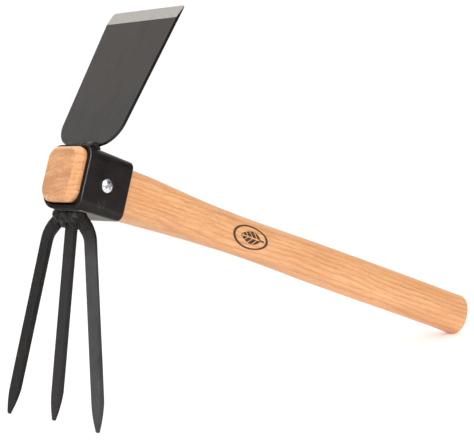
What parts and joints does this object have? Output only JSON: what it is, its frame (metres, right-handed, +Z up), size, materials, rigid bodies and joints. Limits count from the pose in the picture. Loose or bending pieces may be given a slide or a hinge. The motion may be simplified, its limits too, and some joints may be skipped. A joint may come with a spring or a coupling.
{
  "type": "grub hoe",
  "caption": "Short-handled grub hoe: a flat hoe blade above the eye and three pointed tines below it, on an oval wooden handle held by a screw.",
  "frame": {"origin": "on the ground, at the centre of the bottom of the bounding box, with the tool standing on its outer tine points and the butt of its handle", "axes": "+X from the head to the butt along the ground, +Y to the left of a user holding the butt, +Z up"},
  "size_m": [0.3932, 0.087, 0.2386],
  "materials": {
    "ash_wood": "pale ash with a thin satin lacquer, long brown grain lines, pores on the end grain",
    "black_paint": "satin black paint, lightly rubbed on the edges",
    "blade_paint": "semi-matt black paint on the plate, cutting bevel ground to bare steel",
    "weld_paint": "rippled weld bead under the same black paint",
    "zinc_plate": "bright zinc plate"
  },
  "bodies": {
    "root": {"eye_collar": "black_paint", "handle": "ash_wood", "hoe_blade": "blade_paint", "left_tine": "black_paint", "center_tine": "black_paint", "right_tine": "black_paint", "blade_weld_front": "weld_paint", "blade_weld_rear": "weld_paint", "fork_weld_front": "weld_paint", "fork_weld_rear": "weld_paint", "tine_web_weld_left": "weld_paint", "tine_web_weld_right": "weld_paint", "retaining_screw": "zinc_plate"}
  },
  "joints": []
}
